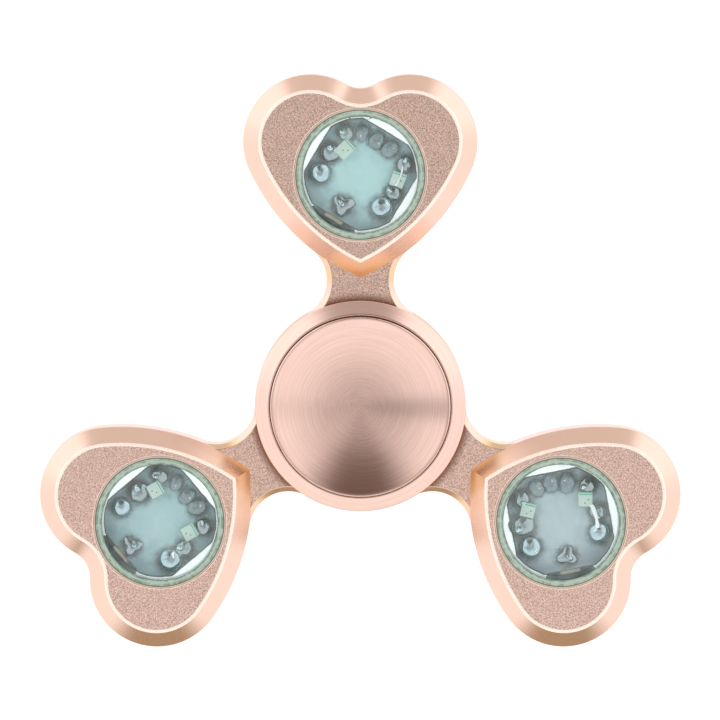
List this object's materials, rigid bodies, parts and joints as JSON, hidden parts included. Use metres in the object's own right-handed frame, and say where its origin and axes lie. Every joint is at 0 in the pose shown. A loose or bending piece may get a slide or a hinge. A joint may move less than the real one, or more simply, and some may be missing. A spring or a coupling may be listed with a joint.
{
  "type": "fidget spinner",
  "caption": "Finger spinner whose bevelled heart-shaped arms each hold a clear round light capsule with a rear push button, turning on a ball bearing between dished finger caps.",
  "frame": {"origin": "on the spin axis, at the plane of the rear cap's rim that the spinner rests on", "axes": "+Z along the spin axis from the rear cap to the front cap, where the clear lenses face; +Y along the top arm"},
  "size_m": [0.0776, 0.0693, 0.0108],
  "materials": {
    "rose_gold_body": "anodised rose gold, fine blasted faces with bright machined bevels",
    "rose_gold_cap": "anodised rose gold, turned in fine rings",
    "bearing_steel": "ground and polished",
    "shield_steel": "pressed sheet",
    "cage_plastic": "moulded",
    "clear_green_plastic": "clear, faint green tint",
    "clear_lens": "clear and glossy",
    "white_plastic": "moulded, smooth",
    "circuit_board": "pale blue-green lacquer",
    "led_plastic": "pale mint, clear filling",
    "solder": "bright, flowed",
    "black_epoxy": "moulded epoxy",
    "cell_steel": "drawn can, faint rings",
    "contact_metal": "rolled spring strip",
    "button_plastic": "moulded, smooth"
  },
  "bodies": {
    "core": {"front_cap": "rose_gold_cap", "rear_cap": "rose_gold_cap", "inner_race": "bearing_steel"},
    "spinner": {"spinner_body": "rose_gold_body", "outer_race": "bearing_steel", "front_shield": "shield_steel", "rear_shield": "shield_steel", "capsule_case_top": "clear_green_plastic", "capsule_case_left": "clear_green_plastic", "capsule_case_right": "clear_green_plastic", "capsule_lens_top": "clear_lens", "capsule_lens_left": "clear_lens", "capsule_lens_right": "clear_lens", "reflector_ring_top": "white_plastic", "reflector_ring_left": "white_plastic", "reflector_ring_right": "white_plastic", "circuit_board_top": "circuit_board", "circuit_board_left": "circuit_board", "circuit_board_right": "circuit_board", "leds_top": "led_plastic", "leds_left": "led_plastic", "leds_right": "led_plastic", "solder_joints_top": "solder", "solder_joints_left": "solder", "solder_joints_right": "solder", "controller_chip_top": "black_epoxy", "controller_chip_left": "black_epoxy", "controller_chip_right": "black_epoxy", "coin_cell_top": "cell_steel", "coin_cell_left": "cell_steel", "coin_cell_right": "cell_steel", "positive_contact_top": "contact_metal", "positive_contact_left": "contact_metal", "positive_contact_right": "contact_metal", "negative_contact_top": "contact_metal", "negative_contact_left": "contact_metal", "negative_contact_right": "contact_metal", "cell_carrier_top": "white_plastic", "cell_carrier_left": "white_plastic", "cell_carrier_right": "white_plastic", "snap_dome_top": "contact_metal", "snap_dome_left": "contact_metal", "snap_dome_right": "contact_metal"},
    "cage": {"ball_cage": "cage_plastic"},
    "ball_1": {"ball_1": "bearing_steel"},
    "ball_2": {"ball_2": "bearing_steel"},
    "ball_3": {"ball_3": "bearing_steel"},
    "ball_4": {"ball_4": "bearing_steel"},
    "ball_5": {"ball_5": "bearing_steel"},
    "ball_6": {"ball_6": "bearing_steel"},
    "ball_7": {"ball_7": "bearing_steel"},
    "button_top": {"push_button_top": "button_plastic"},
    "button_left": {"push_button_left": "button_plastic"},
    "button_right": {"push_button_right": "button_plastic"}
  },
  "joints": [
    {"name": "spin", "type": "hinge", "parent": "core", "child": "spinner", "pos_m": [0, 0, 0], "axis": [0, 0, 1], "continuous": true},
    {"name": "cage_spin", "type": "hinge", "parent": "core", "child": "cage", "pos_m": [0, 0, 0], "axis": [0, 0, 1], "continuous": true},
    {"name": "ball_1_roll", "type": "hinge", "parent": "cage", "child": "ball_1", "pos_m": [0, 0.0075, 0.0054], "axis": [0, 0, 1], "continuous": true},
    {"name": "ball_2_roll", "type": "hinge", "parent": "cage", "child": "ball_2", "pos_m": [-0.00586, 0.00468, 0.0054], "axis": [0, 0, 1], "continuous": true},
    {"name": "ball_3_roll", "type": "hinge", "parent": "cage", "child": "ball_3", "pos_m": [-0.00731, -0.00167, 0.0054], "axis": [0, 0, 1], "continuous": true},
    {"name": "ball_4_roll", "type": "hinge", "parent": "cage", "child": "ball_4", "pos_m": [-0.00325, -0.00676, 0.0054], "axis": [0, 0, 1], "continuous": true},
    {"name": "ball_5_roll", "type": "hinge", "parent": "cage", "child": "ball_5", "pos_m": [0.00325, -0.00676, 0.0054], "axis": [0, 0, 1], "continuous": true},
    {"name": "ball_6_roll", "type": "hinge", "parent": "cage", "child": "ball_6", "pos_m": [0.00731, -0.00167, 0.0054], "axis": [0, 0, 1], "continuous": true},
    {"name": "ball_7_roll", "type": "hinge", "parent": "cage", "child": "ball_7", "pos_m": [0.00586, 0.00468, 0.0054], "axis": [0, 0, 1], "continuous": true},
    {"name": "press_top", "type": "slide", "parent": "spinner", "child": "button_top", "axis": [0, 0, 1], "range_m": [0, 0.0003], "stiffness_N_per_m": 1500, "springref_m": -0.0002, "deforming": ["snap_dome_top"]},
    {"name": "press_left", "type": "slide", "parent": "spinner", "child": "button_left", "axis": [0, 0, 1], "range_m": [0, 0.0003], "stiffness_N_per_m": 1500, "springref_m": -0.0002, "deforming": ["snap_dome_left"]},
    {"name": "press_right", "type": "slide", "parent": "spinner", "child": "button_right", "axis": [0, 0, 1], "range_m": [0, 0.0003], "stiffness_N_per_m": 1500, "springref_m": -0.0002, "deforming": ["snap_dome_right"]}
  ],
  "couplings": [
    {"joint": "cage_spin", "follows": "spin", "ratio": 0.6323},
    {"joint": "ball_1_roll", "follows": "spin", "ratio": 1.7573},
    {"joint": "ball_2_roll", "follows": "spin", "ratio": 1.7573},
    {"joint": "ball_3_roll", "follows": "spin", "ratio": 1.7573},
    {"joint": "ball_4_roll", "follows": "spin", "ratio": 1.7573},
    {"joint": "ball_5_roll", "follows": "spin", "ratio": 1.7573},
    {"joint": "ball_6_roll", "follows": "spin", "ratio": 1.7573},
    {"joint": "ball_7_roll", "follows": "spin", "ratio": 1.7573}
  ]
}
